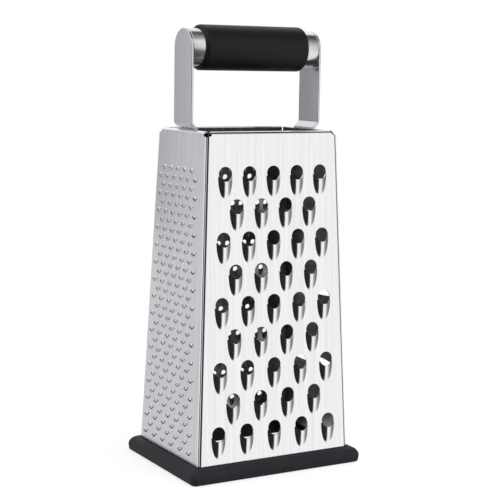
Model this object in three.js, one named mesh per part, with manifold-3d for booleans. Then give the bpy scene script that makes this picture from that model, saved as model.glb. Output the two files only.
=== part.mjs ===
// Four-sided box grater: leaning sheet walls with punched teeth, a bridge
// handle with a sleeve grip, and a soft base frame round the foot.
// Millimetres, +Z up, origin on the table under the middle of the base.
// The coarse shredding wall faces -Y and the fine grating wall faces -X.

import * as THREE from 'three';
import { mergeVertices } from 'three/addons/utils/BufferGeometryUtils.js';
import { ParametricGeometry } from 'three/addons/geometries/ParametricGeometry.js';
import Module from 'manifold-3d';

const wasm = await Module();
wasm.setup();

// Overall
const overallHeight = 254;
const clearance = 0.3;

// Body: outer sizes over the walls at their lower and upper edges
const wallFoot = 3;
const bodyTop = 195.2;
const footWidth = 100;
const footDepth = 75.1;
const topWidth = 85.4;
const topDepth = 58.4;
const sheet = 0.6;

// Rolled upper edge of each wall, an oval roll
const hemRadius = 1.5;
const hemHeight = 2.2;
const hemLeg = 5;
const faceNotch = 3.9;
const sideNotch = 2;

// Corner: a wide wall turns round the edge and laps behind the side wall,
// whose own edge stops a little short of the wide wall's outer face
const bendRadius = 1.6;
const edgeInset = 1.1;
const flangeWidth = 4.4;

// Handle: two strap uprights, a tube between them and a sleeve on the tube.
// The straps stand just inside the side walls' outer faces and clear the rolled edge.
const strapInset = 0.1;
const strapThickness = 1.5;
const strapLeg = 16;
const strapBend = 2;
const strapClear = 1;
const tubeRadius = 10.65;
const tubeWall = 1.2;
const gripWall = 1.93;
const gripLength = 67;

// Base frame: a channel that takes the foot of the walls
const baseWidth = 112.4;
const baseDepth = 87.2;
const baseTop = 8.8;
const baseCrease = 3.8;
const baseUndercut = 1.65;
const baseCorner = 4;
const channelFloor = 2.4;
const channelCorner = 1;
const lipThickness = 1.8;
const lipTop = 8;

// Coarse shredding teeth of the front wall
const coarseTooth = {
  holeWidth: 8.1, holeHeight: 8.1, width: 9.3, length: 11.2, raise: 1.4, drop: 2,
  holeSides: 12, domeSides: 8, domeRings: 3, hollow: true,
};
const coarseRows = { rows: 9, firstRow: 23.3, rowPitch: 18.2, perRow: 5, margin: 12.7, shift: 0 };

// Small shredding teeth of the back wall
const smallTooth = {
  holeWidth: 3, holeHeight: 3, width: 4.6, length: 5.6, raise: 1.1, drop: 0.9,
  holeSides: 4, domeSides: 4, domeRings: 1, hollow: false,
};
const smallRows = { rows: 20, firstRow: 15.4, rowPitch: 8.135, perRow: 12, margin: 12.7, shift: 0.7 };

// Slicing slots of the right wall
const slicerSlot = {
  holeWidth: 51, holeHeight: 6.5, width: 54, length: 9, raise: 2.6, drop: 0.6,
  holeSides: 20, domeSides: 20, domeRings: 4, hollow: true,
};
const slicerRows = { rows: 3, firstRow: 51.5, rowPitch: 44 };

// Fine grating crowns of the left wall
const fineCrown = { width: 3.4, hole: 1.6, raise: 1.1, sides: 3 };
const fineRows = { rows: 32, firstRow: 11.3, rowPitch: 5.12, perRow: 6, margin: 9.15, shift: -2.5 };

// Fineness of the round shapes
const arcSteps = 6;
const tubeSides = 32;
const domeSteps = 4;

const acrossAxis = new THREE.Vector3(1, 0, 0);
const upAxis = new THREE.Vector3(0, 1, 0);
const outAxis = new THREE.Vector3(0, 0, 1);

// Closed geometry to solid, and back
function solid(geometry) {
  const bare = geometry.clone();
  bare.deleteAttribute('normal');
  bare.deleteAttribute('uv');
  const merged = mergeVertices(bare, 1e-4);
  return new wasm.Manifold(new wasm.Mesh({
    numProp: 3,
    vertProperties: Float32Array.from(merged.attributes.position.array),
    triVerts: Uint32Array.from(merged.index.array),
  }));
}

function geometryOf(manifold) {
  const mesh = manifold.getMesh();
  const geometry = new THREE.BufferGeometry();
  geometry.setAttribute('position', new THREE.BufferAttribute(mesh.vertProperties, 3));
  geometry.setIndex(new THREE.BufferAttribute(mesh.triVerts, 1));
  geometry.computeVertexNormals();
  return geometry;
}

function joined(solids) {
  return solids.reduce((sum, next) => sum.add(next));
}

// A flat shape given depth, with its x along across, its y along up, centred on its depth
function prism(shape, depth, across, up) {
  const geometry = new THREE.ExtrudeGeometry(shape, {
    depth, bevelEnabled: false, curveSegments: arcSteps,
  });
  geometry.translate(0, 0, -depth / 2);
  const through = new THREE.Vector3().crossVectors(across, up);
  return geometry.applyMatrix4(new THREE.Matrix4().makeBasis(across, up, through));
}

// A wall's own frame: x across, y up the slope from the lower edge, z out of the sheet.
// footReach and topReach are its outer face's distances from the middle of the body.
function wallFrame(footSpan, topSpan, footReach, topReach) {
  const lean = Math.atan((footReach - topReach) / (bodyTop - wallFoot));
  const rise = (bodyTop - wallFoot) / Math.cos(lean);
  const flare = (topSpan - footSpan) / 2 / rise;
  const halfAt = (height) => footSpan / 2 + flare * height;
  return { lean, rise, flare, halfAt, footReach };
}

const faceFrame = wallFrame(footWidth, topWidth, footDepth / 2, topDepth / 2);
const sideFrame = wallFrame(footDepth, topDepth, footWidth / 2, topWidth / 2);

// A wide wall's flange lies this far inside its neighbour's outer face
const flangeDepth = sheet + clearance;

// Plain leaning sheet up to the rolled edge, its sides inset from the neighbours' outer faces
function sheetWall(frame, inset) {
  const top = frame.rise - hemHeight;
  const outline = new THREE.Shape();
  outline.moveTo(-frame.halfAt(0) + inset, 0);
  outline.lineTo(frame.halfAt(0) - inset, 0);
  outline.lineTo(frame.halfAt(top) - inset, top);
  outline.lineTo(-frame.halfAt(top) + inset, top);
  return solid(prism(outline, sheet, acrossAxis, upAxis).translate(0, 0, -sheet / 2));
}

// Rolled edge: the sheet turns over inwards and ends in a short leg, clear of its neighbours' legs
function rolledEdge(frame) {
  const crown = frame.rise - hemHeight;
  const profile = new THREE.Shape();
  profile.moveTo(0, crown - hemLeg);
  profile.lineTo(sheet, crown - hemLeg);
  profile.lineTo(sheet, crown);
  profile.absellipse(hemRadius, crown, hemRadius - sheet, hemHeight - sheet, Math.PI, 0, true, 0);
  profile.lineTo(2 * hemRadius - sheet, crown - hemLeg);
  profile.lineTo(2 * hemRadius, crown - hemLeg);
  profile.lineTo(2 * hemRadius, crown);
  profile.absellipse(hemRadius, crown, hemRadius, hemHeight, 0, Math.PI, false, 0);
  const length = 2 * (frame.halfAt(frame.rise) - 2 * hemRadius - clearance);
  return solid(prism(profile, length, outAxis.clone().negate(), upAxis));
}

// What is left of a wall once its upper corners are notched, measured in from its edge
function notchedOutline(frame, edge, notch) {
  const spare = clearance;
  const drop = notch + edge + spare;
  const notchHalf = frame.halfAt(frame.rise - drop) + spare;
  const topHalf = notchHalf - drop - spare;
  const outline = new THREE.Shape();
  outline.moveTo(-frame.halfAt(0) - spare, -spare);
  outline.lineTo(frame.halfAt(0) + spare, -spare);
  outline.lineTo(notchHalf, frame.rise - drop);
  outline.lineTo(topHalf, frame.rise + spare);
  outline.lineTo(-topHalf, frame.rise + spare);
  outline.lineTo(-notchHalf, frame.rise - drop);
  const through = 4 * (bendRadius + flangeWidth + hemRadius);
  return solid(prism(outline, through, acrossAxis, upAxis));
}

// One corner of a wide wall: the bend and the flange behind the neighbour
function cornerFlange(frame, side) {
  const overlap = sheet;
  const bendStart = flangeDepth + bendRadius;
  const flangeEnd = bendRadius + flangeWidth;
  const section = new THREE.Shape();
  section.moveTo(-bendStart - overlap, 0);
  section.lineTo(-bendStart, 0);
  section.absarc(-bendStart, bendRadius, bendRadius, -Math.PI / 2, 0, false);
  section.lineTo(-flangeDepth, flangeEnd);
  section.lineTo(-flangeDepth - sheet, flangeEnd);
  section.lineTo(-flangeDepth - sheet, bendRadius);
  section.absarc(-bendStart, bendRadius, bendRadius - sheet, 0, -Math.PI / 2, true);
  section.lineTo(-bendStart - overlap, sheet);

  const length = frame.rise - hemHeight;
  const across = acrossAxis.clone().multiplyScalar(side);
  const flange = prism(section, length, across, outAxis.clone().negate());
  flange.translate(0, length / 2, 0);
  const follow = new THREE.Matrix4().set(
    1, side * frame.flare, 0, side * frame.halfAt(0),
    0, 1, 0, 0,
    0, 0, 1, 0,
    0, 0, 0, 1,
  );
  return solid(flange.applyMatrix4(follow));
}

// A front or back wall carries both corners; a side wall is flat
function faceWall() {
  const plain = sheetWall(faceFrame, flangeDepth + bendRadius).add(rolledEdge(faceFrame));
  const whole = plain.add(cornerFlange(faceFrame, 1)).add(cornerFlange(faceFrame, -1));
  return whole.intersect(notchedOutline(faceFrame, flangeDepth, faceNotch));
}

function sideWall() {
  const plain = sheetWall(sideFrame, edgeInset).add(rolledEdge(sideFrame));
  return plain.intersect(notchedOutline(sideFrame, edgeInset, sideNotch));
}

// Places of a staggered pattern that keeps its margin to the leaning edges
function staggered(frame, pattern) {
  const places = [];
  for (let row = 0; row < pattern.rows; row += 1) {
    const height = pattern.firstRow + row * pattern.rowPitch;
    const pitch = 2 * (frame.halfAt(height) - pattern.margin) / (pattern.perRow - 1);
    const count = pattern.perRow - row % 2;
    for (let column = 0; column < count; column += 1) {
      places.push([pattern.shift + (column - (count - 1) / 2) * pitch, height]);
    }
  }
  return places;
}

function slotPlaces(pattern) {
  return Array.from({ length: pattern.rows }, (_, row) => [0, pattern.firstRow + row * pattern.rowPitch]);
}

// A half ball whose round end points down, with its flat cap at the origin
function halfBall(radii, sides, rings) {
  const profile = [];
  for (let ring = 0; ring <= rings; ring += 1) {
    const angle = (ring / rings) * (Math.PI / 2);
    profile.push(new THREE.Vector2(Math.sin(angle), -Math.cos(angle)));
  }
  profile.push(new THREE.Vector2(0, 0));
  return new THREE.LatheGeometry(profile, sides).scale(...radii);
}

// Scoop teeth: a hole with a bump pushed out below it, whose upper lip cuts.
// A large bump is hollow like the sheet it was pressed from, and a small one is solid.
function withScoops(wall, tooth, places) {
  const half = tooth.width / 2;
  const outer = halfBall([half, tooth.length, tooth.raise], tooth.domeSides, tooth.domeRings);
  outer.translate(0, -tooth.drop, 0);
  const innerRadii = [half - sheet, tooth.length - sheet, tooth.raise];
  const inner = halfBall(innerRadii, tooth.domeSides, tooth.domeRings);
  inner.translate(0, -tooth.drop, -sheet);
  const hole = new THREE.CylinderGeometry(1, 1, 4 * tooth.raise, tooth.holeSides);
  hole.rotateX(Math.PI / 2).scale(tooth.holeWidth / 2, tooth.holeHeight / 2, 1);

  const at = (geometry) => joined(places.map(([x, y]) => solid(geometry.clone().translate(x, y, 0))));
  const reach = 2 * overallHeight;
  const outside = new THREE.BoxGeometry(reach, reach, reach).translate(0, 0, reach / 2 - sheet / 2);
  const bumps = at(outer).intersect(solid(outside));
  const pressed = wall.add(bumps);
  const scooped = tooth.hollow ? pressed.subtract(at(inner)) : pressed;
  return scooped.subtract(at(hole));
}

// Crowns: small pierced pyramids with a sharp rim
function withCrowns(wall, crown, places) {
  const peak = crown.raise / (1 - crown.hole / crown.width);
  const depth = peak + sheet / 2;
  const spread = (crown.width / 2) * (depth / peak);
  const pyramid = new THREE.ConeGeometry(spread, depth, crown.sides);
  pyramid.rotateX(Math.PI / 2).translate(0, 0, depth / 2 - sheet / 2);
  const hole = new THREE.CylinderGeometry(crown.hole / 2, crown.hole / 2, 4 * peak, crown.sides);
  hole.rotateX(Math.PI / 2);
  const at = (geometry) => joined(places.map(([x, y]) => solid(geometry.clone().translate(x, y, 0))));
  return wall.add(at(pyramid)).subtract(at(hole));
}

// Middle line with its corners rounded, as points
function rounded(points, radius) {
  const line = [points[0]];
  for (let i = 1; i < points.length - 1; i += 1) {
    const before = points[i - 1].clone().sub(points[i]).normalize();
    const after = points[i + 1].clone().sub(points[i]).normalize();
    const halfAngle = Math.acos(before.dot(after)) / 2;
    const setback = radius / Math.tan(halfAngle);
    const start = points[i].clone().addScaledVector(before, setback);
    const end = points[i].clone().addScaledVector(after, setback);
    const curve = new THREE.QuadraticBezierCurve(start, points[i], end);
    line.push(...curve.getPoints(arcSteps));
  }
  line.push(points[points.length - 1]);
  return line;
}

// A strip of even thickness along a line of points
function stripShape(line, thickness) {
  const offsets = line.map((point, i) => {
    const ahead = line[Math.min(i + 1, line.length - 1)].clone().sub(point).normalize();
    const behind = point.clone().sub(line[Math.max(i - 1, 0)]).normalize();
    const along = ahead.add(behind).normalize();
    return new THREE.Vector2(-along.y, along.x).multiplyScalar(thickness / 2);
  });
  const left = line.map((point, i) => point.clone().add(offsets[i]));
  const right = line.map((point, i) => point.clone().sub(offsets[i]));
  return new THREE.Shape([...right, ...left.reverse()]);
}

// Right upright: from its round top down over the rolled edge to a leg inside the wall
const uprightSpan = topWidth - 2 * strapInset;
const gripRadius = tubeRadius + clearance + gripWall;
const tubeHeight = overallHeight - gripRadius;

function upright() {
  const { lean, rise, footReach } = sideFrame;
  const inWall = (depth, height) => new THREE.Vector2(
    footReach - depth * Math.cos(lean) - height * Math.sin(lean),
    wallFoot + height * Math.cos(lean) - depth * Math.sin(lean),
  );
  const half = strapThickness / 2;
  const middle = uprightSpan / 2 - half;
  const hemCentre = inWall(hemRadius, rise - hemRadius);
  const passing = Math.SQRT2 * (hemRadius + strapClear + half);
  const crossing = hemCentre.x - hemCentre.y - passing;
  const legDepth = 2 * hemRadius + clearance + half;
  const legFoot = inWall(legDepth, rise - strapLeg);
  const legTop = inWall(legDepth, rise);
  const legSlope = (legTop.x - legFoot.x) / (legTop.y - legFoot.y);
  const kneeHeight = (legFoot.x - legSlope * legFoot.y - crossing) / (1 - legSlope);
  const line = rounded([
    new THREE.Vector2(middle, overallHeight),
    new THREE.Vector2(middle, middle - crossing),
    new THREE.Vector2(crossing + kneeHeight, kneeHeight),
    legFoot,
  ], strapBend);
  const strap = prism(stripShape(line, strapThickness), 2 * tubeRadius, acrossAxis, outAxis);

  const outline = new THREE.Shape();
  outline.moveTo(-tubeRadius, 0);
  outline.lineTo(tubeRadius, 0);
  outline.absarc(0, tubeHeight, tubeRadius, 0, Math.PI, false);
  const cutter = prism(outline, 2 * uprightSpan, upAxis, outAxis);
  return geometryOf(solid(strap).intersect(solid(cutter)));
}

// Tube and sleeve turn about the handle's axis
function aboutHandle(profile) {
  const closed = [...profile, profile[0]];
  return new THREE.LatheGeometry(closed, tubeSides).rotateZ(Math.PI / 2);
}

function handleTube() {
  const half = uprightSpan / 2 - strapThickness;
  const bore = tubeRadius - tubeWall;
  return aboutHandle([
    new THREE.Vector2(bore, -half),
    new THREE.Vector2(tubeRadius, -half),
    new THREE.Vector2(tubeRadius, half),
    new THREE.Vector2(bore, half),
  ]);
}

function gripSleeve() {
  const half = gripLength / 2;
  const bore = gripRadius - gripWall;
  const profile = new THREE.Path();
  profile.moveTo(bore, -half);
  profile.absarc(bore, -half + gripWall, gripWall, -Math.PI / 2, 0, false);
  profile.absarc(bore, half - gripWall, gripWall, 0, Math.PI / 2, false);
  return aboutHandle(profile.getPoints(arcSteps / 2));
}

// Base frame: rounded rectangles stacked along the channel's section
function baseFrame() {
  const footHalfX = footWidth / 2;
  const footHalfY = footDepth / 2;
  const wallBuild = flangeDepth + sheet + 2 * clearance;
  const ring = (halfX, halfY, corner, height) => ({ halfX, halfY, corner, height });
  const outer = (inset, height) => ring(
    baseWidth / 2 - inset, baseDepth / 2 - inset, baseCorner - inset, height,
  );
  const inner = (inset, height) => ring(footHalfX - inset, footHalfY - inset, channelCorner, height);
  const mouth = (height) => ring(
    footHalfX + clearance, footHalfY + clearance, edgeInset, height,
  );
  // The upper side is a quarter oval from the widest line up to the mouth
  const dome = Array.from({ length: domeSteps }, (_, step) => {
    const angle = ((step + 1) / (domeSteps + 1)) * (Math.PI / 2);
    const rim = mouth(baseCrease + (baseTop - baseCrease) * Math.sin(angle));
    const out = (inside, outside) => inside + (outside - inside) * Math.cos(angle);
    return ring(
      out(rim.halfX, baseWidth / 2), out(rim.halfY, baseDepth / 2), out(rim.corner, baseCorner), rim.height,
    );
  });
  const section = [
    outer(baseUndercut, 0),
    outer(baseUndercut / 4, baseUndercut / 2),
    outer(0, baseCrease),
    ...dome,
    mouth(baseTop),
    mouth(channelFloor),
    inner(wallBuild, channelFloor),
    inner(wallBuild, lipTop),
    inner(wallBuild + lipThickness, lipTop),
    inner(wallBuild + lipThickness, 0),
  ];
  const cornerPoints = arcSteps + 1;
  const loopPoints = 4 * cornerPoints;
  const surface = (along, around, target) => {
    const place = Math.round(along * loopPoints) % loopPoints;
    const { halfX, halfY, corner, height } = section[Math.round(around * section.length) % section.length];
    const quarter = Math.floor(place / cornerPoints);
    const angle = (quarter + (place % cornerPoints) / arcSteps) * (Math.PI / 2);
    const signX = quarter === 0 || quarter === 3 ? 1 : -1;
    const signY = quarter < 2 ? 1 : -1;
    target.set(
      signX * (halfX - corner) + corner * Math.cos(angle),
      signY * (halfY - corner) + corner * Math.sin(angle),
      height,
    );
  };
  return geometryOf(solid(new ParametricGeometry(surface, loopPoints, section.length)));
}

// Materials: brushed sheet, satin strap, polished tube, soft black plastic
function steel(color, roughness) {
  return new THREE.MeshStandardMaterial({ color, roughness, metalness: 1 });
}

function plastic(color, roughness) {
  return new THREE.MeshStandardMaterial({ color, roughness, metalness: 0 });
}

function mesh(name, geometry, material) {
  const piece = new THREE.Mesh(geometry, material);
  piece.name = name;
  return piece;
}

// A wall leans in its own group, and the group turns to the wall's side of the body
function placedWall(name, wall, frame, turn, material) {
  const piece = mesh(name, geometryOf(wall), material);
  piece.position.set(0, -frame.footReach, wallFoot);
  piece.rotation.x = Math.PI / 2 - frame.lean;
  const side = new THREE.Group();
  side.rotation.z = turn;
  return side.add(piece);
}

function placedUpright(name, turn) {
  const piece = mesh(name, upright(), steel(0xb9babd, 0.35));
  const side = new THREE.Group();
  side.rotation.z = turn;
  return side.add(piece);
}

function onHandle(name, geometry, material) {
  const piece = mesh(name, geometry, material);
  piece.position.z = tubeHeight;
  return piece;
}

const frontWall = withScoops(faceWall(), coarseTooth, staggered(faceFrame, coarseRows));
const backWall = withScoops(faceWall(), smallTooth, staggered(faceFrame, smallRows));
const leftWall = withCrowns(sideWall(), fineCrown, staggered(sideFrame, fineRows));
const rightWall = withScoops(sideWall(), slicerSlot, slotPlaces(slicerRows));

const grater = new THREE.Group();
grater.add(
  placedWall('front_wall', frontWall, faceFrame, 0, steel(0xe6e6e6, 0.3)),
  placedWall('right_wall', rightWall, sideFrame, Math.PI / 2, steel(0xb4b4ba, 0.35)),
  placedWall('back_wall', backWall, faceFrame, Math.PI, steel(0xd8d8da, 0.3)),
  placedWall('left_wall', leftWall, sideFrame, -Math.PI / 2, steel(0xb4b4ba, 0.35)),
  placedUpright('right_upright', 0),
  placedUpright('left_upright', Math.PI),
  onHandle('handle_tube', handleTube(), steel(0xd5d5d8, 0.2)),
  onHandle('grip_sleeve', gripSleeve(), plastic(0x1c1c20, 0.55)),
  mesh('base_frame', baseFrame(), plastic(0x1b1b1d, 0.6)),
);

export default grater;
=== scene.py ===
# Box grater: four punched steel walls, a bridge handle with a sleeve grip, and a soft base frame.
# The frame is in metres, +Z up. Pieces are modelled in millimetres and brought to metres when done.

import math

import bmesh
import bpy
from mathutils import Matrix, Quaternion, Vector


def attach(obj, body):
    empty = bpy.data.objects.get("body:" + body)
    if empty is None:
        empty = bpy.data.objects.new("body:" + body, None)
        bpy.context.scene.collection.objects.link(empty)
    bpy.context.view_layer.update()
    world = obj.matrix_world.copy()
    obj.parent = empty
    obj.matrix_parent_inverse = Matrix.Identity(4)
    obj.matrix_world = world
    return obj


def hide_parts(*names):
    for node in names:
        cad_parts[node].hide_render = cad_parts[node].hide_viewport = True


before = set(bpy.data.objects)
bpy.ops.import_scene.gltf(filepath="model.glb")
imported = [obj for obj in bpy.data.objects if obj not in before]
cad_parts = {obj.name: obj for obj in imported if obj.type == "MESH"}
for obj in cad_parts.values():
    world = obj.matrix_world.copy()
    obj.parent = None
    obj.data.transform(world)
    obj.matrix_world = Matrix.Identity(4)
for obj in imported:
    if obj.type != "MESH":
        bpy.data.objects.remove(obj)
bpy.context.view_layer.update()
scene = bpy.context.scene
scene.view_settings.view_transform = "Standard"
mm = 0.001
tiny = 1e-3  # tolerance when picking vertices, in millimetres
hair = 1e-5  # tolerance of a cut
bpy.ops.object.select_all(action="DESELECT")


# Picking and finishing

def pick(piece):
    bpy.ops.object.select_all(action="DESELECT")
    piece.select_set(True)
    bpy.context.view_layer.objects.active = piece


def startEdit(piece):
    pick(piece)
    bpy.ops.object.mode_set(mode="EDIT")
    bpy.ops.mesh.select_mode(type="VERT")
    bpy.ops.mesh.select_all(action="SELECT")


def endEdit():
    bpy.ops.object.mode_set(mode="OBJECT")


def selectWhere(test):
    mesh = bmesh.from_edit_mesh(bpy.context.edit_object.data)
    bpy.ops.mesh.select_all(action="DESELECT")
    for vert in mesh.verts:
        vert.select = test(vert.co)
    mesh.select_flush(True)
    bmesh.update_edit_mesh(bpy.context.edit_object.data)


def extrude(move):
    bpy.ops.mesh.extrude_region_move(TRANSFORM_OT_translate={"value": move})


def applyModifier(piece, kind, **settings):
    pick(piece)
    modifier = piece.modifiers.new(kind.lower(), kind)
    for key, value in settings.items():
        setattr(modifier, key, value)
    bpy.ops.object.modifier_apply(modifier=modifier.name)


def copyOf(piece, place):
    twin = piece.copy()
    twin.data = piece.data.copy()
    twin.matrix_world = place @ piece.matrix_world
    bpy.context.collection.objects.link(twin)
    return twin


def joinAll(pieces):
    pick(pieces[0])
    for piece in pieces:
        piece.select_set(True)
    bpy.ops.object.join()
    return bpy.context.object


def settle(piece, place=Matrix()):
    pick(piece)
    piece.matrix_world = place @ piece.matrix_world
    bpy.ops.object.transform_apply(location=True, rotation=True, scale=True)


def smooth(piece, degrees):
    pick(piece)
    bpy.ops.object.shade_smooth_by_angle(angle=math.radians(degrees))


def finish(piece, name, body, node, materials):
    settle(piece, Matrix.Scale(mm, 4))
    piece.name = name
    piece.data.name = name
    if not piece.data.materials:
        for material in materials:
            piece.data.materials.append(material)
    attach(piece, body)
    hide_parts(node)
    print("made", name, len(piece.data.polygons), "faces")


# Node materials

def hexColour(text):
    parts = [int(text[i:i + 2], 16) / 255 for i in (1, 3, 5)]
    return tuple(c / 12.92 if c <= 0.04045 else ((c + 0.055) / 1.055) ** 2.4 for c in parts) + (1.0,)


def addNode(tree, kind, inputs=None, **settings):
    node = tree.nodes.new(kind)
    for key, value in settings.items():
        setattr(node, key, value)
    for key, value in (inputs or {}).items():
        if isinstance(value, bpy.types.NodeSocket):
            tree.links.new(value, node.inputs[key])
        else:
            node.inputs[key].default_value = value
    return node


def newMaterial(name):
    material = bpy.data.materials.new(name)
    material.use_nodes = True
    tree = material.node_tree
    return material, tree, tree.nodes["Principled BSDF"]


# Stainless sheet, belt brushed up the wall: long fine lines that drift in tone and spread the
# reflections sideways. Real lines are about 0.05 mm apart, so they are drawn coarser to show.
def brushedStainless(name, look):
    material, tree, shader = newMaterial(name)
    place = addNode(tree, "ShaderNodeTexCoord")
    lines = addNode(tree, "ShaderNodeMapping", {
        "Vector": place.outputs["Object"],
        "Scale": [share / (look["lineMm"] * mm) for share in look["across"]]})
    fine = addNode(tree, "ShaderNodeTexNoise", {
        "Vector": lines.outputs["Vector"], "Scale": 1.0, "Detail": 3.0, "Roughness": 0.65})
    bands = addNode(tree, "ShaderNodeMapping", {
        "Vector": place.outputs["Object"],
        "Scale": [share / (look["bandMm"] * mm) for share in look["across"]]})
    broad = addNode(tree, "ShaderNodeTexNoise", {
        "Vector": bands.outputs["Vector"], "Scale": 1.0, "Detail": 2.0, "Roughness": 0.5})
    both = addNode(tree, "ShaderNodeMix", {
        "Factor": 0.4, "A": fine.outputs["Fac"], "B": broad.outputs["Fac"]}, data_type="FLOAT")
    tone = addNode(tree, "ShaderNodeValToRGB", {"Fac": both.outputs["Result"]})
    tone.color_ramp.elements[0].position = 0.32
    tone.color_ramp.elements[0].color = hexColour(look["dark"])
    tone.color_ramp.elements[1].position = 0.66
    tone.color_ramp.elements[1].color = hexColour(look["pale"])
    polish = addNode(tree, "ShaderNodeMapRange", {
        "Value": fine.outputs["Fac"], "From Min": 0.3, "From Max": 0.7,
        "To Min": look["smooth"], "To Max": look["rough"]})
    groove = addNode(tree, "ShaderNodeBump", {
        "Height": fine.outputs["Fac"], "Strength": look["groove"], "Distance": look["grooveMm"] * mm})
    tree.links.new(tone.outputs["Color"], shader.inputs["Base Color"])
    tree.links.new(polish.outputs["Result"], shader.inputs["Roughness"])
    tree.links.new(groove.outputs["Normal"], shader.inputs["Normal"])
    shader.inputs["Metallic"].default_value = 1.0
    return material


faceSheet = brushedStainless("stainless_brushed_face", {
    "dark": "#e8e8e9", "pale": "#f8f8f8", "lineMm": 0.5, "bandMm": 2.5, "across": (1.0, 0.0, 0.012),
    "smooth": 0.12, "rough": 0.19, "groove": 0.1, "grooveMm": 0.05})
sideSheet = brushedStainless("stainless_brushed_side", {
    "dark": "#e2e2e8", "pale": "#f6f6fa", "lineMm": 0.5, "bandMm": 2.5, "across": (0.0, 1.0, 0.012),
    "smooth": 0.2, "rough": 0.3, "groove": 0.12, "grooveMm": 0.05})
strapSteel = brushedStainless("stainless_satin_strap", {
    "dark": "#d2d2d7", "pale": "#e2e2e7", "lineMm": 0.4, "bandMm": 1.8, "across": (0.0, 1.0, 0.02),
    "smooth": 0.16, "rough": 0.24, "groove": 0.1, "grooveMm": 0.05})
tubeSteel = brushedStainless("stainless_turned_tube", {
    "dark": "#e4e0e1", "pale": "#f4f1f2", "lineMm": 0.4, "bandMm": 1.6, "across": (1.0, 0.03, 0.03),
    "smooth": 0.18, "rough": 0.24, "groove": 0.03, "grooveMm": 0.05})


# Stainless as it leaves the mill, on the unbrushed inside: a dull even grey.
def millStainless(name, look):
    material, tree, shader = newMaterial(name)
    place = addNode(tree, "ShaderNodeTexCoord")
    cloud = addNode(tree, "ShaderNodeTexNoise", {
        "Vector": place.outputs["Object"], "Scale": 1 / (look["cloudMm"] * mm), "Detail": 4.0})
    tone = addNode(tree, "ShaderNodeValToRGB", {"Fac": cloud.outputs["Fac"]})
    tone.color_ramp.elements[0].position = 0.35
    tone.color_ramp.elements[0].color = hexColour(look["dark"])
    tone.color_ramp.elements[1].position = 0.65
    tone.color_ramp.elements[1].color = hexColour(look["pale"])
    tree.links.new(tone.outputs["Color"], shader.inputs["Base Color"])
    shader.inputs["Metallic"].default_value = 1.0
    shader.inputs["Roughness"].default_value = look["rough"]
    return material


insideSheet = millStainless("stainless_mill_inside", {
    "dark": "#a2a2a7", "pale": "#b2b2b7", "cloudMm": 9.0, "rough": 0.28})


# Moulded rubber: almost black, with a fine spark-eroded grain that softens the highlights.
# The real grain is about 0.1 mm, and it is drawn coarser to show.
def mouldedRubber(name, look):
    material, tree, shader = newMaterial(name)
    place = addNode(tree, "ShaderNodeTexCoord")
    grain = addNode(tree, "ShaderNodeTexNoise", {
        "Vector": place.outputs["Object"], "Scale": 1 / (look["grainMm"] * mm), "Detail": 2.0})
    cloud = addNode(tree, "ShaderNodeTexNoise", {
        "Vector": place.outputs["Object"], "Scale": 1 / (look["cloudMm"] * mm), "Detail": 3.0})
    tone = addNode(tree, "ShaderNodeValToRGB", {"Fac": cloud.outputs["Fac"]})
    tone.color_ramp.elements[0].position = 0.3
    tone.color_ramp.elements[0].color = hexColour(look["dark"])
    tone.color_ramp.elements[1].position = 0.7
    tone.color_ramp.elements[1].color = hexColour(look["pale"])
    polish = addNode(tree, "ShaderNodeMapRange", {
        "Value": cloud.outputs["Fac"], "From Min": 0.3, "From Max": 0.7,
        "To Min": look["smooth"], "To Max": look["rough"]})
    skin = addNode(tree, "ShaderNodeBump", {
        "Height": grain.outputs["Fac"], "Strength": look["skin"], "Distance": look["skinMm"] * mm})
    tree.links.new(tone.outputs["Color"], shader.inputs["Base Color"])
    tree.links.new(polish.outputs["Result"], shader.inputs["Roughness"])
    tree.links.new(skin.outputs["Normal"], shader.inputs["Normal"])
    shader.inputs["IOR"].default_value = 1.5
    shader.inputs["Specular IOR Level"].default_value = look["gloss"]
    return material


gripRubber = mouldedRubber("silicone_moulded_grip", {
    "dark": "#0a0a0d", "pale": "#0f0f13", "gloss": 0.34, "grainMm": 0.35, "cloudMm": 7.0,
    "smooth": 0.44, "rough": 0.52, "skin": 0.25, "skinMm": 0.05})
baseRubber = mouldedRubber("rubber_moulded_base", {
    "dark": "#212026", "pale": "#29282e", "gloss": 0.2, "grainMm": 0.4, "cloudMm": 9.0,
    "smooth": 0.52, "rough": 0.62, "skin": 0.3, "skinMm": 0.06})


# Walls: a sheet in its own flat frame, x across, y up the slope, z out

body = {
    "foot": 3.0, "top": 195.2,
    "footWidth": 100.0, "footDepth": 75.1, "topWidth": 85.4, "topDepth": 58.4,
    "sheet": 0.6, "gap": 0.3, "hemRadius": 1.5, "hemHeight": 2.24, "hemLeg": 5.0, "hemInset": 3.6,
    "hemBend": 2.0, "hemTurn": math.radians(72), "hemFlat": 1.0, "hemCurl": 0.62,
    "faceNotch": 3.3, "sideNotch": 2.9, "bendRadius": 1.3, "edgeInset": 1.1, "flange": 4.4,
    "hemSteps": 16, "bendSteps": 12, "smoothBelow": 32,
}
flangeDepth = body["sheet"] + body["gap"]


def wallShape(footSpan, topSpan, footReach, topReach):
    height = body["top"] - body["foot"]
    lean = math.atan((footReach - topReach) / height)
    rise = height / math.cos(lean)
    return {"lean": lean, "rise": rise, "footSpan": footSpan, "reach": footReach,
            "flare": (topSpan - footSpan) / 2 / rise}


faceShape = wallShape(body["footWidth"], body["topWidth"], body["footDepth"] / 2, body["topDepth"] / 2)
sideShape = wallShape(body["footDepth"], body["topDepth"], body["footWidth"] / 2, body["topWidth"] / 2)


def halfAt(shape, up):
    return shape["footSpan"] / 2 + shape["flare"] * up


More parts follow.
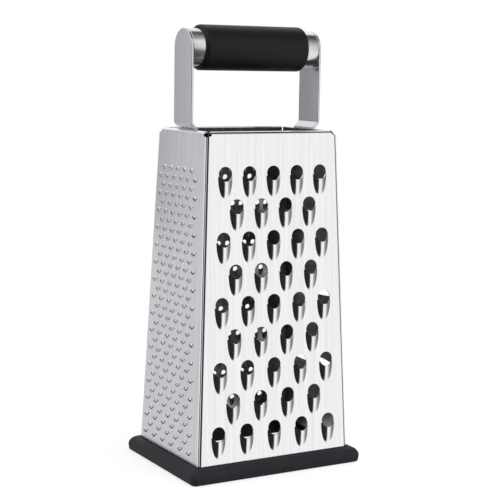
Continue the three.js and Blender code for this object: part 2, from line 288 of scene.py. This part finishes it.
def flatSheet(shape, inset, shoulder):
    crown = shape["rise"] - body["hemHeight"]
    bpy.ops.mesh.primitive_plane_add(size=2)
    sheet = bpy.context.object
    startEdit(sheet)
    bpy.ops.transform.resize(value=(halfAt(shape, 0) - inset, shoulder / 2, 1))
    bpy.ops.transform.translate(value=(0, shoulder / 2, 0))
    selectWhere(lambda co: co.y > shoulder - tiny)
    shrink = (halfAt(shape, shoulder) - inset) / (halfAt(shape, 0) - inset)
    bpy.ops.transform.resize(value=(shrink, 1, 1), center_override=(0, shoulder, 0))
    extrude((0, crown - shoulder, 0))  # the notched corner
    narrow = (halfAt(shape, crown) - body["hemInset"]) / (halfAt(shape, shoulder) - inset)
    bpy.ops.transform.resize(value=(narrow, 1, 1), center_override=(0, crown, 0))
    bend, turn, curl = body["hemBend"], body["hemTurn"], body["hemCurl"]
    slope = Vector((0, math.cos(turn), -math.sin(turn)))
    bendEnd = Vector((0, crown + bend * math.sin(turn), bend * math.cos(turn) - bend))
    flatEnd = bendEnd + slope * body["hemFlat"]
    curlCentre = flatEnd - curl * Vector((0, math.sin(turn), math.cos(turn)))
    bpy.ops.mesh.spin(steps=body["hemSteps"], angle=turn, center=(0, crown, -bend), axis=(1, 0, 0))
    extrude(slope * body["hemFlat"])
    bpy.ops.mesh.spin(steps=body["hemSteps"], angle=math.pi - turn, center=curlCentre,
                      axis=(1, 0, 0))
    extrude((0, -body["hemLeg"], 0))
    endEdit()
    return sheet


def turnCorners(sheet, shape, inset, shoulder):
    for side in (1, -1):
        startEdit(sheet)
        edge = Vector((side * shape["flare"], 1, 0)).normalized()
        foot = Vector((side * (halfAt(shape, 0) - inset), 0, 0))
        selectWhere(lambda co: co.y < shoulder + tiny and side * co.x > 0
                    and abs((co - foot).cross(edge).length) < tiny)
        bpy.ops.mesh.spin(steps=body["bendSteps"], angle=-side * math.pi / 2,
                          center=foot - Vector((0, 0, body["bendRadius"])), axis=edge)
        extrude((0, 0, -body["flange"]))
        bpy.ops.mesh.select_all(action="SELECT")
        corner = (side * (halfAt(shape, shape["rise"]) - flangeDepth),
                  shape["rise"] - body["faceNotch"], 0)
        bpy.ops.mesh.bisect(plane_co=corner, plane_no=(side, 1, 0), clear_outer=True, threshold=hair)
        endEdit()


def thicken(sheet):
    startEdit(sheet)
    bpy.ops.mesh.remove_doubles(threshold=tiny)
    bpy.ops.mesh.normals_make_consistent(inside=False)
    endEdit()
    outward = max(sheet.data.polygons, key=lambda face: face.area).normal.z
    if outward < 0:
        sheet.data.flip_normals()
    applyModifier(sheet, "SOLIDIFY", thickness=body["sheet"], offset=-1.0, use_even_offset=True)


def faceBlank():
    inset = flangeDepth + body["bendRadius"]
    shoulder = faceShape["rise"] - body["hemHeight"] - body["sheet"]
    sheet = flatSheet(faceShape, inset, shoulder)
    turnCorners(sheet, faceShape, inset, shoulder)
    thicken(sheet)
    return sheet


def sideBlank():
    shoulder = sideShape["rise"] - body["sideNotch"]
    sheet = flatSheet(sideShape, body["edgeInset"], shoulder)
    thicken(sheet)
    return sheet


# A pressed bump: a soft-edged dome that runs out far below the lip and ends shortly above it

def pressedBump(tooth):
    soft, sink = 0.06, 0.015
    reach = 1.05
    heightAt = lambda out: tooth["raise"] * (
        (1 - out ** 2 + math.sqrt((1 - out ** 2) ** 2 + soft ** 2)) / 2 - sink)
    bpy.ops.mesh.primitive_circle_add(vertices=tooth["sides"], radius=reach, fill_type="NGON",
                                      location=(0, 0, -body["sheet"] / 2))
    bump = bpy.context.object
    startEdit(bump)
    level, out = -body["sheet"] / 2, reach
    for ring in range(tooth["rings"] + 1):
        nextOut = reach * (1 - ring / (tooth["rings"] + 0.5))
        extrude((0, 0, heightAt(nextOut) - level))
        level = heightAt(nextOut)
        bpy.ops.transform.resize(value=(nextOut / out, nextOut / out, 1),
                                 center_override=(0, 0, level))
        out = nextOut
    bpy.ops.mesh.select_all(action="SELECT")
    bpy.ops.mesh.normals_make_consistent(inside=False)
    bpy.ops.transform.resize(value=(tooth["width"] / 2, tooth["length"], 1),
                             center_override=(0, 0, 0))
    selectWhere(lambda co: co.y > tiny)
    fade = tooth["fade"] / tooth["length"]
    bpy.ops.transform.resize(value=(1, fade, 1), center_override=(0, 0, 0))
    endEdit()
    settle(bump, Matrix.Translation((tooth["aside"], -tooth["drop"], 0)))
    return bump


def pressedHollow(bump, tooth):
    thick = body["sheet"]
    slim = Matrix.Diagonal((1 - 2 * thick / tooth["width"], 1 - thick / tooth["length"], 1, 1))
    drop = Matrix.Translation((tooth["aside"], -tooth["drop"], 0))
    hollow = copyOf(bump, Matrix.Translation((0, 0, -thick)) @ drop @ slim @ drop.inverted())
    settle(hollow)
    return hollow


punchReach = 6  # the punch's length against the bump's height, so that it passes right through


def punchedHole(tooth):
    bpy.ops.mesh.primitive_cylinder_add(vertices=tooth["holeSides"], radius=1,
                                        depth=punchReach * tooth["raise"])
    hole = bpy.context.object
    settle(hole, Matrix.Diagonal((tooth["holeWidth"] / 2, tooth["holeHeight"] / 2, 1, 1)))
    return hole


def spread(original, places):
    copies = [copyOf(original, Matrix.Translation((x, y, 0))) for x, y in places]
    bpy.data.objects.remove(original)
    return joinAll(copies)


def boolean(wall, tool, operation):
    applyModifier(wall, "BOOLEAN", object=tool, operation=operation, solver="MANIFOLD")
    bpy.data.objects.remove(tool)


def punchScoops(wall, tooth, places):
    bump = pressedBump(tooth)
    hollow = pressedHollow(bump, tooth)
    hole = punchedHole(tooth)
    boolean(wall, spread(bump, places), "UNION")
    boolean(wall, spread(hollow, places), "DIFFERENCE")
    boolean(wall, spread(hole, places), "DIFFERENCE")


def staggered(shape, rows):
    places = []
    for row in range(rows["rows"]):
        up = rows["firstRow"] + row * rows["rowPitch"]
        pitch = 2 * (halfAt(shape, up) - rows["margin"]) / (rows["perRow"] - 1)
        count = rows["perRow"] - row % 2
        first = rows["shift"] - (count - 1) / 2 * pitch
        places += [(first + column * pitch, up) for column in range(count)]
    return places


def smoothSheet(wall):
    smooth(wall, body["smoothBelow"])
    applyModifier(wall, "WEIGHTED_NORMAL", mode="FACE_AREA", weight=90, keep_sharp=True)


# Faces that look into the grater keep the mill finish, and so do the sheared edges of the top
# corners. The rolled edge is brushed all round. Depths and reaches are in millimetres.
mill = {
    "looksIn": -0.2, "looksAcross": 0.6, "looksOut": 0.1,
    "depth": body["sheet"] * 0.6, "hemDepth": 1.8 * body["hemRadius"], "cornerReach": 8.0,
}


def finishWall(wall, name, shape, turn, outside):
    smoothSheet(wall)
    wall.data.materials.clear()
    wall.data.materials.append(outside)
    wall.data.materials.append(insideSheet)
    for face in wall.data.polygons:
        centre, normal = face.center, face.normal
        onHem = centre.y > shape["rise"] - body["hemHeight"] or centre.z < -mill["hemDepth"]
        flat = normal.z < mill["looksIn"] and centre.z < -mill["depth"] and not onHem
        inBump = normal.z < mill["looksIn"] and centre.y < shape["rise"] - 2 * body["hemRadius"]
        atCorner = (abs(centre.x) > halfAt(shape, centre.y) - mill["cornerReach"]
                    and centre.y > shape["rise"] - 2 * body["faceNotch"])
        sheared = (atCorner and abs(normal.x) > mill["looksAcross"]
                   and abs(normal.z) < mill["looksOut"])
        face.material_index = 1 if flat or inBump or sheared else 0
    lean = Matrix.Rotation(math.pi / 2 - shape["lean"], 4, "X")
    stand = Matrix.Translation((0, -shape["reach"], body["foot"]))
    settle(wall, Matrix.Rotation(turn, 4, "Z") @ stand @ lean)
    finish(wall, name, "grater", name[:-len("_steel")], [])


coarse = {
    "holeWidth": 8.4, "holeHeight": 8.3, "width": 9.0, "length": 12.8, "raise": 1.4, "drop": 1.4,
    "fade": 0.12, "aside": -0.15, "sides": 56, "rings": 10, "holeSides": 48,
    "rows": 9, "firstRow": 23.3, "rowPitch": 18.2, "perRow": 5, "margin": 12.7, "shift": 0.0,
}
frontWall = faceBlank()
punchScoops(frontWall, coarse, staggered(faceShape, coarse))
finishWall(frontWall, "front_wall_steel", faceShape, 0.0, faceSheet)

small = {
    "holeWidth": 3.0, "holeHeight": 3.0, "width": 4.6, "length": 5.6, "raise": 1.1, "drop": 0.9,
    "fade": 0.2, "aside": 0.0, "sides": 16, "rings": 3, "holeSides": 14,
    "rows": 20, "firstRow": 15.4, "rowPitch": 8.135, "perRow": 12, "margin": 12.7, "shift": 0.7,
}
backWall = faceBlank()
punchScoops(backWall, small, staggered(faceShape, small))
finishWall(backWall, "back_wall_steel", faceShape, math.pi, faceSheet)

slicer = {
    "holeWidth": 51.0, "holeHeight": 6.5, "width": 54.0, "length": 9.0, "raise": 2.6, "drop": 0.6,
    "fade": 0.2, "aside": 0.0, "sides": 120, "rings": 9, "holeSides": 96,
    "rows": 3, "firstRow": 51.5, "rowPitch": 44.0,
}
slicerPlaces = [(0.0, slicer["firstRow"] + row * slicer["rowPitch"])
                for row in range(slicer["rows"])]
rightWall = sideBlank()
punchScoops(rightWall, slicer, slicerPlaces)
finishWall(rightWall, "right_wall_steel", sideShape, math.pi / 2, sideSheet)

# Fine teeth: the sheet is burst outwards into a small crown with four points
fine = {
    "width": 2.9, "rim": 2.3, "hole": 1.5, "point": 1.3, "gap": 0.7, "points": 4,
    "skirt": 0.2, "skirtRise": 0.1,
    "rows": 32, "firstRow": 11.3, "rowPitch": 5.12, "perRow": 6, "margin": 9.15, "shift": -2.5,
}


def burstCrown(look):
    foot, skirtRise = -body["sheet"] / 2, look["skirtRise"]
    skirtRadius = look["width"] / 2 + look["skirt"]
    bpy.ops.mesh.primitive_circle_add(vertices=2 * look["points"], radius=skirtRadius,
                                      fill_type="NGON", location=(0, 0, foot))
    crown = bpy.context.object
    startEdit(crown)
    extrude((0, 0, skirtRise - foot))
    shrink = (look["width"] / 2) / skirtRadius
    bpy.ops.transform.resize(value=(shrink, shrink, 1), center_override=(0, 0, skirtRise))
    extrude((0, 0, look["gap"] - skirtRise))
    shrink = look["rim"] / look["width"]
    bpy.ops.transform.resize(value=(shrink, shrink, 1), center_override=(0, 0, look["gap"]))
    bpy.ops.mesh.poke()
    step = math.pi / look["points"]
    selectWhere(lambda co: co.z > look["gap"] - tiny and math.hypot(co.x, co.y) > look["rim"] / 4
                and round(math.atan2(co.y, co.x) / step) % 2 == 0)
    bpy.ops.transform.translate(value=(0, 0, look["point"] - look["gap"]))
    bpy.ops.mesh.select_all(action="SELECT")
    bpy.ops.mesh.normals_make_consistent(inside=False)
    endEdit()
    settle(crown)
    return crown


leftWall = sideBlank()
finePlaces = staggered(sideShape, fine)
boolean(leftWall, spread(burstCrown(fine), finePlaces), "UNION")
boolean(leftWall, spread(punchedHole({"holeSides": 2 * fine["points"], "raise": fine["point"],
                                      "holeWidth": fine["hole"], "holeHeight": fine["hole"]}),
                         finePlaces), "DIFFERENCE")
finishWall(leftWall, "left_wall_steel", sideShape, -math.pi / 2, sideSheet)


# Handle: strap uprights, tube and sleeve grip

handle = {
    "height": 254.0, "tubeRadius": 10.65, "tubeWall": 1.2, "gripWall": 1.93, "gripLength": 67.0,
    "span": 85.2, "strap": 1.5, "strapLeg": 16.0, "bend": 2.0, "overHem": 1.0, "softEdge": 0.45,
    "tubeEdge": 0.25, "sleeveRim": 0.25, "bendSteps": 8, "strapSides": 64, "tubeSides": 96,
    "smoothBelow": 32,
}
gripRadius = handle["tubeRadius"] + body["gap"] + handle["gripWall"]
tubeHeight = handle["height"] - gripRadius


def inSideWall(depth, up):
    lean = sideShape["lean"]
    return Vector((sideShape["reach"] - depth * math.cos(lean) - up * math.sin(lean), 0,
                   body["foot"] + up * math.cos(lean) - depth * math.sin(lean)))


def upright():
    half = handle["strap"] / 2
    middle = handle["span"] / 2 - half
    hem = inSideWall(body["hemRadius"], sideShape["rise"] - body["hemRadius"])
    crossing = hem.x - hem.z - math.sqrt(2) * (body["hemRadius"] + handle["overHem"] + half)
    legDepth = 2 * body["hemRadius"] + body["gap"] + half
    legFoot = inSideWall(legDepth, sideShape["rise"] - handle["strapLeg"])
    legSlope = -math.tan(sideShape["lean"])
    kneeHeight = (legFoot.x - legSlope * legFoot.z - crossing) / (1 - legSlope)
    shoulder = Vector((middle, 0, middle - crossing))
    knee = Vector((crossing + kneeHeight, 0, kneeHeight))
    inward = (knee - shoulder).normalized()
    downLeg = (legFoot - knee).normalized()
    firstTurn = math.pi / 4
    secondTurn = firstTurn + sideShape["lean"]
    firstBack = handle["bend"] * math.tan(firstTurn / 2)
    secondBack = handle["bend"] * math.tan(secondTurn / 2)
    outer = middle + half

    bpy.ops.mesh.primitive_circle_add(vertices=handle["strapSides"], radius=handle["tubeRadius"],
                                      fill_type="NOTHING", location=(outer, 0, tubeHeight),
                                      rotation=(0, math.pi / 2, 0))
    strap = bpy.context.object
    settle(strap)
    startEdit(strap)
    selectWhere(lambda co: co.z < tubeHeight - tiny)
    bpy.ops.mesh.delete(type="VERT")
    bpy.ops.mesh.select_all(action="SELECT")
    bpy.ops.mesh.edge_face_add()
    selectWhere(lambda co: co.z < tubeHeight + tiny)
    extrude((0, 0, shoulder.z + firstBack - tubeHeight))
    bpy.ops.mesh.spin(steps=handle["bendSteps"], angle=-firstTurn, axis=(0, 1, 0),
                      center=(middle - handle["bend"], 0, shoulder.z + firstBack))
    extrude(inward * ((knee - shoulder).length - firstBack - secondBack))
    turnIn = knee - inward * secondBack
    outwards = Vector((-inward.z, 0, inward.x))
    bpy.ops.mesh.spin(steps=handle["bendSteps"], angle=secondTurn, axis=(0, 1, 0),
                      center=turnIn + outwards * handle["bend"])
    extrude(downLeg * ((legFoot - knee).length - secondBack))
    bpy.ops.mesh.select_all(action="SELECT")
    bpy.ops.mesh.remove_doubles(threshold=tiny)
    bpy.ops.mesh.normals_make_consistent(inside=False)
    endEdit()
    if max(strap.data.polygons, key=lambda face: face.area).normal.x < 0:
        strap.data.flip_normals()
    applyModifier(strap, "SOLIDIFY", thickness=handle["strap"], offset=-1.0, use_even_offset=True)
    applyModifier(strap, "BEVEL", width=handle["softEdge"], segments=3, limit_method="ANGLE",
                  angle_limit=math.radians(50))
    smooth(strap, handle["smoothBelow"])
    applyModifier(strap, "WEIGHTED_NORMAL", weight=80, keep_sharp=True)
    return strap


rightStrap = upright()
leftStrap = copyOf(rightStrap, Matrix.Rotation(math.pi, 4, "Z"))
settle(leftStrap)
finish(rightStrap, "right_upright_strap", "grater", "right_upright", [strapSteel])
finish(leftStrap, "left_upright_strap", "grater", "left_upright", [strapSteel])


# A closed section turned about the handle's axis: points are (along, radius)
def turned(points, sides):
    along, radius = points[0]
    bpy.ops.mesh.primitive_circle_add(vertices=sides, radius=radius, fill_type="NOTHING",
                                      location=(along, 0, 0), rotation=(0, math.pi / 2, 0))
    piece = bpy.context.object
    settle(piece)
    startEdit(piece)
    for nextAlong, nextRadius in points[1:]:
        extrude((nextAlong - along, 0, 0))
        grow = nextRadius / radius
        bpy.ops.transform.resize(value=(1, grow, grow), center_override=(nextAlong, 0, 0))
        along, radius = nextAlong, nextRadius
    first, last = points[0], points[-1]
    selectWhere(lambda co: any(abs(co.x - a) < tiny and abs(math.hypot(co.y, co.z) - r) < tiny
                               for a, r in (first, last)))
    bpy.ops.mesh.bridge_edge_loops()
    bpy.ops.mesh.select_all(action="SELECT")
    bpy.ops.mesh.remove_doubles(threshold=tiny)
    bpy.ops.mesh.normals_make_consistent(inside=False)
    endEdit()
    settle(piece, Matrix.Translation((0, 0, tubeHeight)))
    smooth(piece, handle["smoothBelow"])
    return piece


def roundedEnd(along, radius, corner, steps):
    points = []
    for step in range(steps + 1):
        angle = step / steps * math.pi / 2
        points.append((along - corner * (1 - math.sin(angle)), radius - corner * (1 - math.cos(angle))))
    return points


def roundedPipe(half, radius, bore, corner, steps):
    right = roundedEnd(half, radius, corner, steps)
    left = [(-along, out) for along, out in reversed(right)]
    return turned(left + right + [(half, bore), (-half, bore)], handle["tubeSides"])


handleTube = roundedPipe(handle["span"] / 2 - handle["strap"], handle["tubeRadius"],
                         handle["tubeRadius"] - handle["tubeWall"], handle["tubeEdge"], 3)
finish(handleTube, "handle_tube_steel", "grater", "handle_tube", [tubeSteel])

gripSleeve = roundedPipe(handle["gripLength"] / 2, gripRadius, gripRadius - handle["gripWall"],
                         handle["gripWall"] - handle["sleeveRim"], 8)
finish(gripSleeve, "grip_sleeve_rubber", "grater", "grip_sleeve", [gripRubber])


# Base frame: rounded rectangles bridged along the channel's section

base = {
    "width": 112.4, "depth": 87.2, "top": 8.8, "crease": 3.8, "undercut": 1.65, "corner": 4.0,
    "channelFloor": 2.4, "channelCorner": 1.0, "lip": 1.8, "lipTop": 8.0, "softEdge": 0.45,
    "domeSteps": 10, "cornerSteps": 8, "smoothBelow": 35,
}


def addRing(ring):
    halfX, halfY, corner, up = ring
    bpy.ops.mesh.primitive_plane_add(size=2)
    bpy.ops.transform.resize(value=(halfX, halfY, 1), center_override=(0, 0, 0))
    bpy.ops.transform.translate(value=(0, 0, up))
    bpy.ops.mesh.bevel(offset=corner, offset_type="OFFSET", segments=base["cornerSteps"],
                       affect="VERTICES", clamp_overlap=False)
    selectWhere(lambda co: onRing(co, ring))
    bpy.ops.mesh.delete(type="ONLY_FACE")


def onRing(co, ring):
    halfX, halfY, corner, up = ring
    return (abs(co.z - up) < tiny and -tiny < halfX - abs(co.x) < corner + tiny
            and -tiny < halfY - abs(co.y) < corner + tiny)


def baseFrame():
    halfX, halfY = base["width"] / 2, base["depth"] / 2
    footX, footY = body["footWidth"] / 2, body["footDepth"] / 2
    build = flangeDepth + body["sheet"] + 2 * body["gap"]
    outer = lambda inset, up: (halfX - inset, halfY - inset, base["corner"] - inset, up)
    inner = lambda inset, up: (footX - inset, footY - inset, base["channelCorner"], up)
    mouth = lambda up: (footX + body["gap"], footY + body["gap"], body["edgeInset"], up)
    dome = []
    for step in range(1, base["domeSteps"]):
        angle = step / base["domeSteps"] * math.pi / 2
        up = base["crease"] + (base["top"] - base["crease"]) * math.sin(angle)
        spans = zip(mouth(up)[:3], outer(0, up)[:3])
        dome.append(tuple(near + (far - near) * math.cos(angle) for near, far in spans) + (up,))
    rings = [
        outer(base["undercut"], 0), outer(base["undercut"] / 4, base["undercut"] / 2),
        outer(0, base["crease"]), *dome, mouth(base["top"]),
        mouth(base["channelFloor"]), inner(build, base["channelFloor"]),
        inner(build, base["lipTop"]), inner(build + base["lip"], base["lipTop"]),
        inner(build + base["lip"], 0),
    ]
    bpy.ops.mesh.primitive_plane_add(size=2)
    piece = bpy.context.object
    startEdit(piece)
    bpy.ops.mesh.delete(type="VERT")
    for ring in rings:
        addRing(ring)
    for ring, following in zip(rings, rings[1:] + rings[:1]):
        selectWhere(lambda co: onRing(co, ring) or onRing(co, following))
        bpy.ops.mesh.bridge_edge_loops()
    bpy.ops.mesh.select_all(action="SELECT")
    bpy.ops.mesh.normals_make_consistent(inside=False)
    endEdit()
    applyModifier(piece, "BEVEL", width=base["softEdge"], segments=4, limit_method="ANGLE",
                  angle_limit=math.radians(24))
    smooth(piece, base["smoothBelow"])
    applyModifier(piece, "WEIGHTED_NORMAL", weight=80, keep_sharp=True)
    return piece


finish(baseFrame(), "base_frame_rubber", "base", "base_frame", [baseRubber])


# Stage: pale floor, soft light and the photograph's camera

stage = {
    "floorHalf": 6.0, "floorColour": "#f4f4f4",
    # the floor turns to plain white away from the foot
    "shadowReach": 0.1, "whiteReach": 0.5, "lift": 0.75,
}


def layFloor():
    bpy.ops.mesh.primitive_plane_add(size=2 * stage["floorHalf"])
    floor = bpy.context.object
    floor.name = "floor"
    material, tree, shader = newMaterial("floor_pale")
    path = addNode(tree, "ShaderNodeLightPath")
    shader.inputs["Base Color"].default_value = hexColour(stage["floorColour"])
    shader.inputs["Roughness"].default_value = 0.9
    shader.inputs["Specular IOR Level"].default_value = 0.0
    glow = addNode(tree, "ShaderNodeEmission", {"Color": (1, 1, 1, 1), "Strength": 1.0})
    place = addNode(tree, "ShaderNodeTexCoord")
    away = addNode(tree, "ShaderNodeVectorMath", {0: place.outputs["Object"]}, operation="LENGTH")
    fade = addNode(tree, "ShaderNodeMapRange", {
        "Value": away.outputs["Value"], "From Min": stage["shadowReach"], "From Max": stage["whiteReach"],
        "To Min": stage["lift"], "To Max": 1.0}, interpolation_type="SMOOTHSTEP")
    lifted = addNode(tree, "ShaderNodeMixShader", {
        "Fac": fade.outputs["Result"], 1: shader.outputs["BSDF"], 2: glow.outputs["Emission"]})
    clear = addNode(tree, "ShaderNodeBsdfTransparent")
    cameraOnly = addNode(tree, "ShaderNodeMixShader", {
        "Fac": path.outputs["Is Camera Ray"], 1: shader.outputs["BSDF"], 2: lifted.outputs["Shader"]})
    whole = addNode(tree, "ShaderNodeMixShader", {
        "Fac": path.outputs["Is Glossy Ray"], 1: cameraOnly.outputs["Shader"], 2: clear.outputs["BSDF"]})
    tree.links.new(whole.outputs["Shader"], tree.nodes["Material Output"].inputs["Surface"])
    floor.data.materials.append(material)


# A grey card behind on the left, out of the picture, that the inside of the right strap mirrors
card = {"place": (-0.15, 0.35, 0.225), "turn": 30, "half": 0.05, "tall": 0.12, "level": 0.24}


def hangCard():
    bpy.ops.mesh.primitive_plane_add(size=2, location=card["place"],
                                     rotation=(math.pi / 2, 0, math.radians(card["turn"])))
    sheet = bpy.context.object
    sheet.scale = (card["half"], card["tall"], 1)
    sheet.name = "grey_card"
    sheet.visible_camera = False
    sheet.visible_diffuse = False
    sheet.visible_shadow = False
    material, tree, shader = newMaterial("card_grey")
    glow = addNode(tree, "ShaderNodeEmission", {"Color": (1, 1, 1, 1), "Strength": card["level"]})
    tree.links.new(glow.outputs["Emission"], tree.nodes["Material Output"].inputs["Surface"])
    tree.nodes.remove(shader)
    sheet.data.materials.append(material)


# Studio surround: a bright side at the right front, a dark one at the left front, grey behind and
# a table below that is dark at the left front, with lit patches above. Directions are degrees,
# measured from the front with left positive, and up from the horizon.
surround = {
    "round": [(-180, 0.6), (-150, 0.6), (-136, 0.5), (-122, 0.16), (-105, 0.1), (-90, 0.14),
              (-70, 0.24), (-56, 0.38), (-48, 0.65), (-41, 1.0), (-13, 1.0), (-9, 0.02), (34, 0.02),
              (42, 0.06), (72, 0.1), (88, 0.95), (136, 0.9), (148, 0.66), (180, 0.6)],
    "table": [(-180, 0.3), (-90, 0.33), (-66, 0.4), (-48, 0.9), (-13, 0.9), (-9, 0.05), (60, 0.05),
              (84, 0.3), (180, 0.3)],
    "over": [(-90, 0.12), (-60, 0.35), (-40, 1.0), (30, 1.0), (42, 0.75), (50, 0.35), (56, 0.28),
             (90, 0.28)],
    "shear": 0.45,  # the dark side leans to the right below the horizon
    "tableFrom": -30.0, "tableBelow": -38.0,
    "patches": [  # lit patches above: where they are, their half width and level
        {"turn": -165, "up": 30, "half": 40, "soft": 6, "level": 1.0},
        {"turn": 90, "up": 72, "half": 28, "soft": 4, "level": 1.0},
        {"turn": 25, "up": 42, "half": 24, "soft": 6, "level": 1.0},
        {"turn": 140, "up": 45, "half": 48, "soft": 6, "level": 0.66},
    ],
}


def levelRamp(tree, share, stops, low, span):
    ramp = addNode(tree, "ShaderNodeValToRGB", {"Fac": share.outputs["Result"]})
    elements = ramp.color_ramp.elements
    for end, level in zip(elements, (stops[0][1], stops[-1][1])):
        end.color = (level, level, level, 1)
    for degrees, level in stops[1:-1]:
        elements.new((degrees - low) / span).color = (level, level, level, 1)
    return ramp.outputs["Color"]


def studioWorld():
    world = bpy.data.worlds.new("studio")
    world.use_nodes = True
    scene.world = world
    tree = world.node_tree
    back = tree.nodes["Background"]
    path = addNode(tree, "ShaderNodeLightPath")
    place = addNode(tree, "ShaderNodeTexCoord")
    way = addNode(tree, "ShaderNodeSeparateXYZ", {"Vector": place.outputs["Generated"]})
    left = addNode(tree, "ShaderNodeMath", {0: way.outputs["X"], 1: -1.0}, operation="MULTIPLY")
    front = addNode(tree, "ShaderNodeMath", {0: way.outputs["Y"], 1: -1.0}, operation="MULTIPLY")
    turn = addNode(tree, "ShaderNodeMath", {0: left.outputs["Value"], 1: front.outputs["Value"]},
                   operation="ARCTAN2")
    height = addNode(tree, "ShaderNodeMath", {0: way.outputs["Z"]}, operation="ARCSINE")
    below = addNode(tree, "ShaderNodeMath", {0: height.outputs["Value"], 1: 0.0}, operation="MINIMUM")
    leaning = addNode(tree, "ShaderNodeMath", {
        0: below.outputs["Value"], 1: -surround["shear"], 2: turn.outputs["Value"]},
        operation="MULTIPLY_ADD")
    turnShare = addNode(tree, "ShaderNodeMapRange", {
        "Value": leaning.outputs["Value"], "From Min": -math.pi, "From Max": math.pi})
    heightShare = addNode(tree, "ShaderNodeMapRange", {
        "Value": height.outputs["Value"], "From Min": -math.pi / 2, "From Max": math.pi / 2})
    around = levelRamp(tree, turnShare, surround["round"], -180, 360)
    table = levelRamp(tree, turnShare, surround["table"], -180, 360)
    over = levelRamp(tree, heightShare, surround["over"], -90, 180)
    isLow = addNode(tree, "ShaderNodeMapRange", {
        "Value": height.outputs["Value"], "From Min": math.radians(surround["tableFrom"]),
        "From Max": math.radians(surround["tableBelow"])})
    sides = addNode(tree, "ShaderNodeMix", {
        "Factor": isLow.outputs["Result"], "A": around, "B": table}, data_type="FLOAT")
    light = addNode(tree, "ShaderNodeMath", {0: sides.outputs["Result"], 1: over}, operation="MULTIPLY")
    for patch in surround["patches"]:
        away, up = math.radians(patch["turn"]), math.radians(patch["up"])
        aim = (-math.sin(away) * math.cos(up), -math.cos(away) * math.cos(up), math.sin(up))
        edge = math.cos(math.radians(patch["half"] + patch["soft"]))
        core = math.cos(math.radians(patch["half"] - patch["soft"]))
        near = addNode(tree, "ShaderNodeVectorMath", {0: place.outputs["Generated"], 1: aim},
                       operation="DOT_PRODUCT")
        lit = addNode(tree, "ShaderNodeMapRange", {
            "Value": near.outputs["Value"], "From Min": edge, "From Max": core,
            "To Max": patch["level"]})
        light = addNode(tree, "ShaderNodeMath", {
            0: light.outputs["Value"], 1: lit.outputs["Result"]}, operation="MAXIMUM")
    seen = addNode(tree, "ShaderNodeMix", {
        "Factor": path.outputs["Is Camera Ray"], "A": light.outputs["Value"], "B": 1.0}, data_type="FLOAT")
    tree.links.new(seen.outputs["Result"], back.inputs["Color"])
    back.inputs["Strength"].default_value = 1.0


lamps = {
    "overhead": {"place": (0.15, -0.25, 1.7), "size": 1.0, "watts": 20.0},
    "rightFront": {"place": (1.1, -1.5, 1.1), "size": 0.9, "watts": 5.0},
}
lampTarget = Vector((0, 0, 0.12))


def hangLamps():
    for name, lamp in lamps.items():
        bpy.ops.object.light_add(type="AREA", location=lamp["place"])
        light = bpy.context.object
        light.name = name
        light.data.size = lamp["size"]
        light.data.energy = lamp["watts"]
        light.visible_glossy = False  # the surround alone is mirrored in the steel
        aim = lampTarget - light.location
        light.rotation_euler = aim.to_track_quat("-Z", "Y").to_euler()


view = {
    "lens": 97.56, "place": (-0.39187, -0.68360, 0.23210), "target": (0.00268, -0.00045, 0.12527),
    "roll": 0.94, "shiftY": -0.0044, "sensor": 36.0,
}


def setCamera():
    bpy.ops.object.camera_add(location=view["place"])
    camera = bpy.context.object
    camera.data.sensor_width = view["sensor"]
    camera.data.lens = view["lens"]
    camera.data.shift_y = view["shiftY"]
    aim = (Vector(view["target"]) - Vector(view["place"])).to_track_quat("-Z", "Y")
    camera.rotation_mode = "QUATERNION"
    camera.rotation_quaternion = aim @ Quaternion((0, 0, 1), math.radians(view["roll"]))
    scene.camera = camera


layFloor()
hangCard()
studioWorld()
hangLamps()
setCamera()
print("stage set")
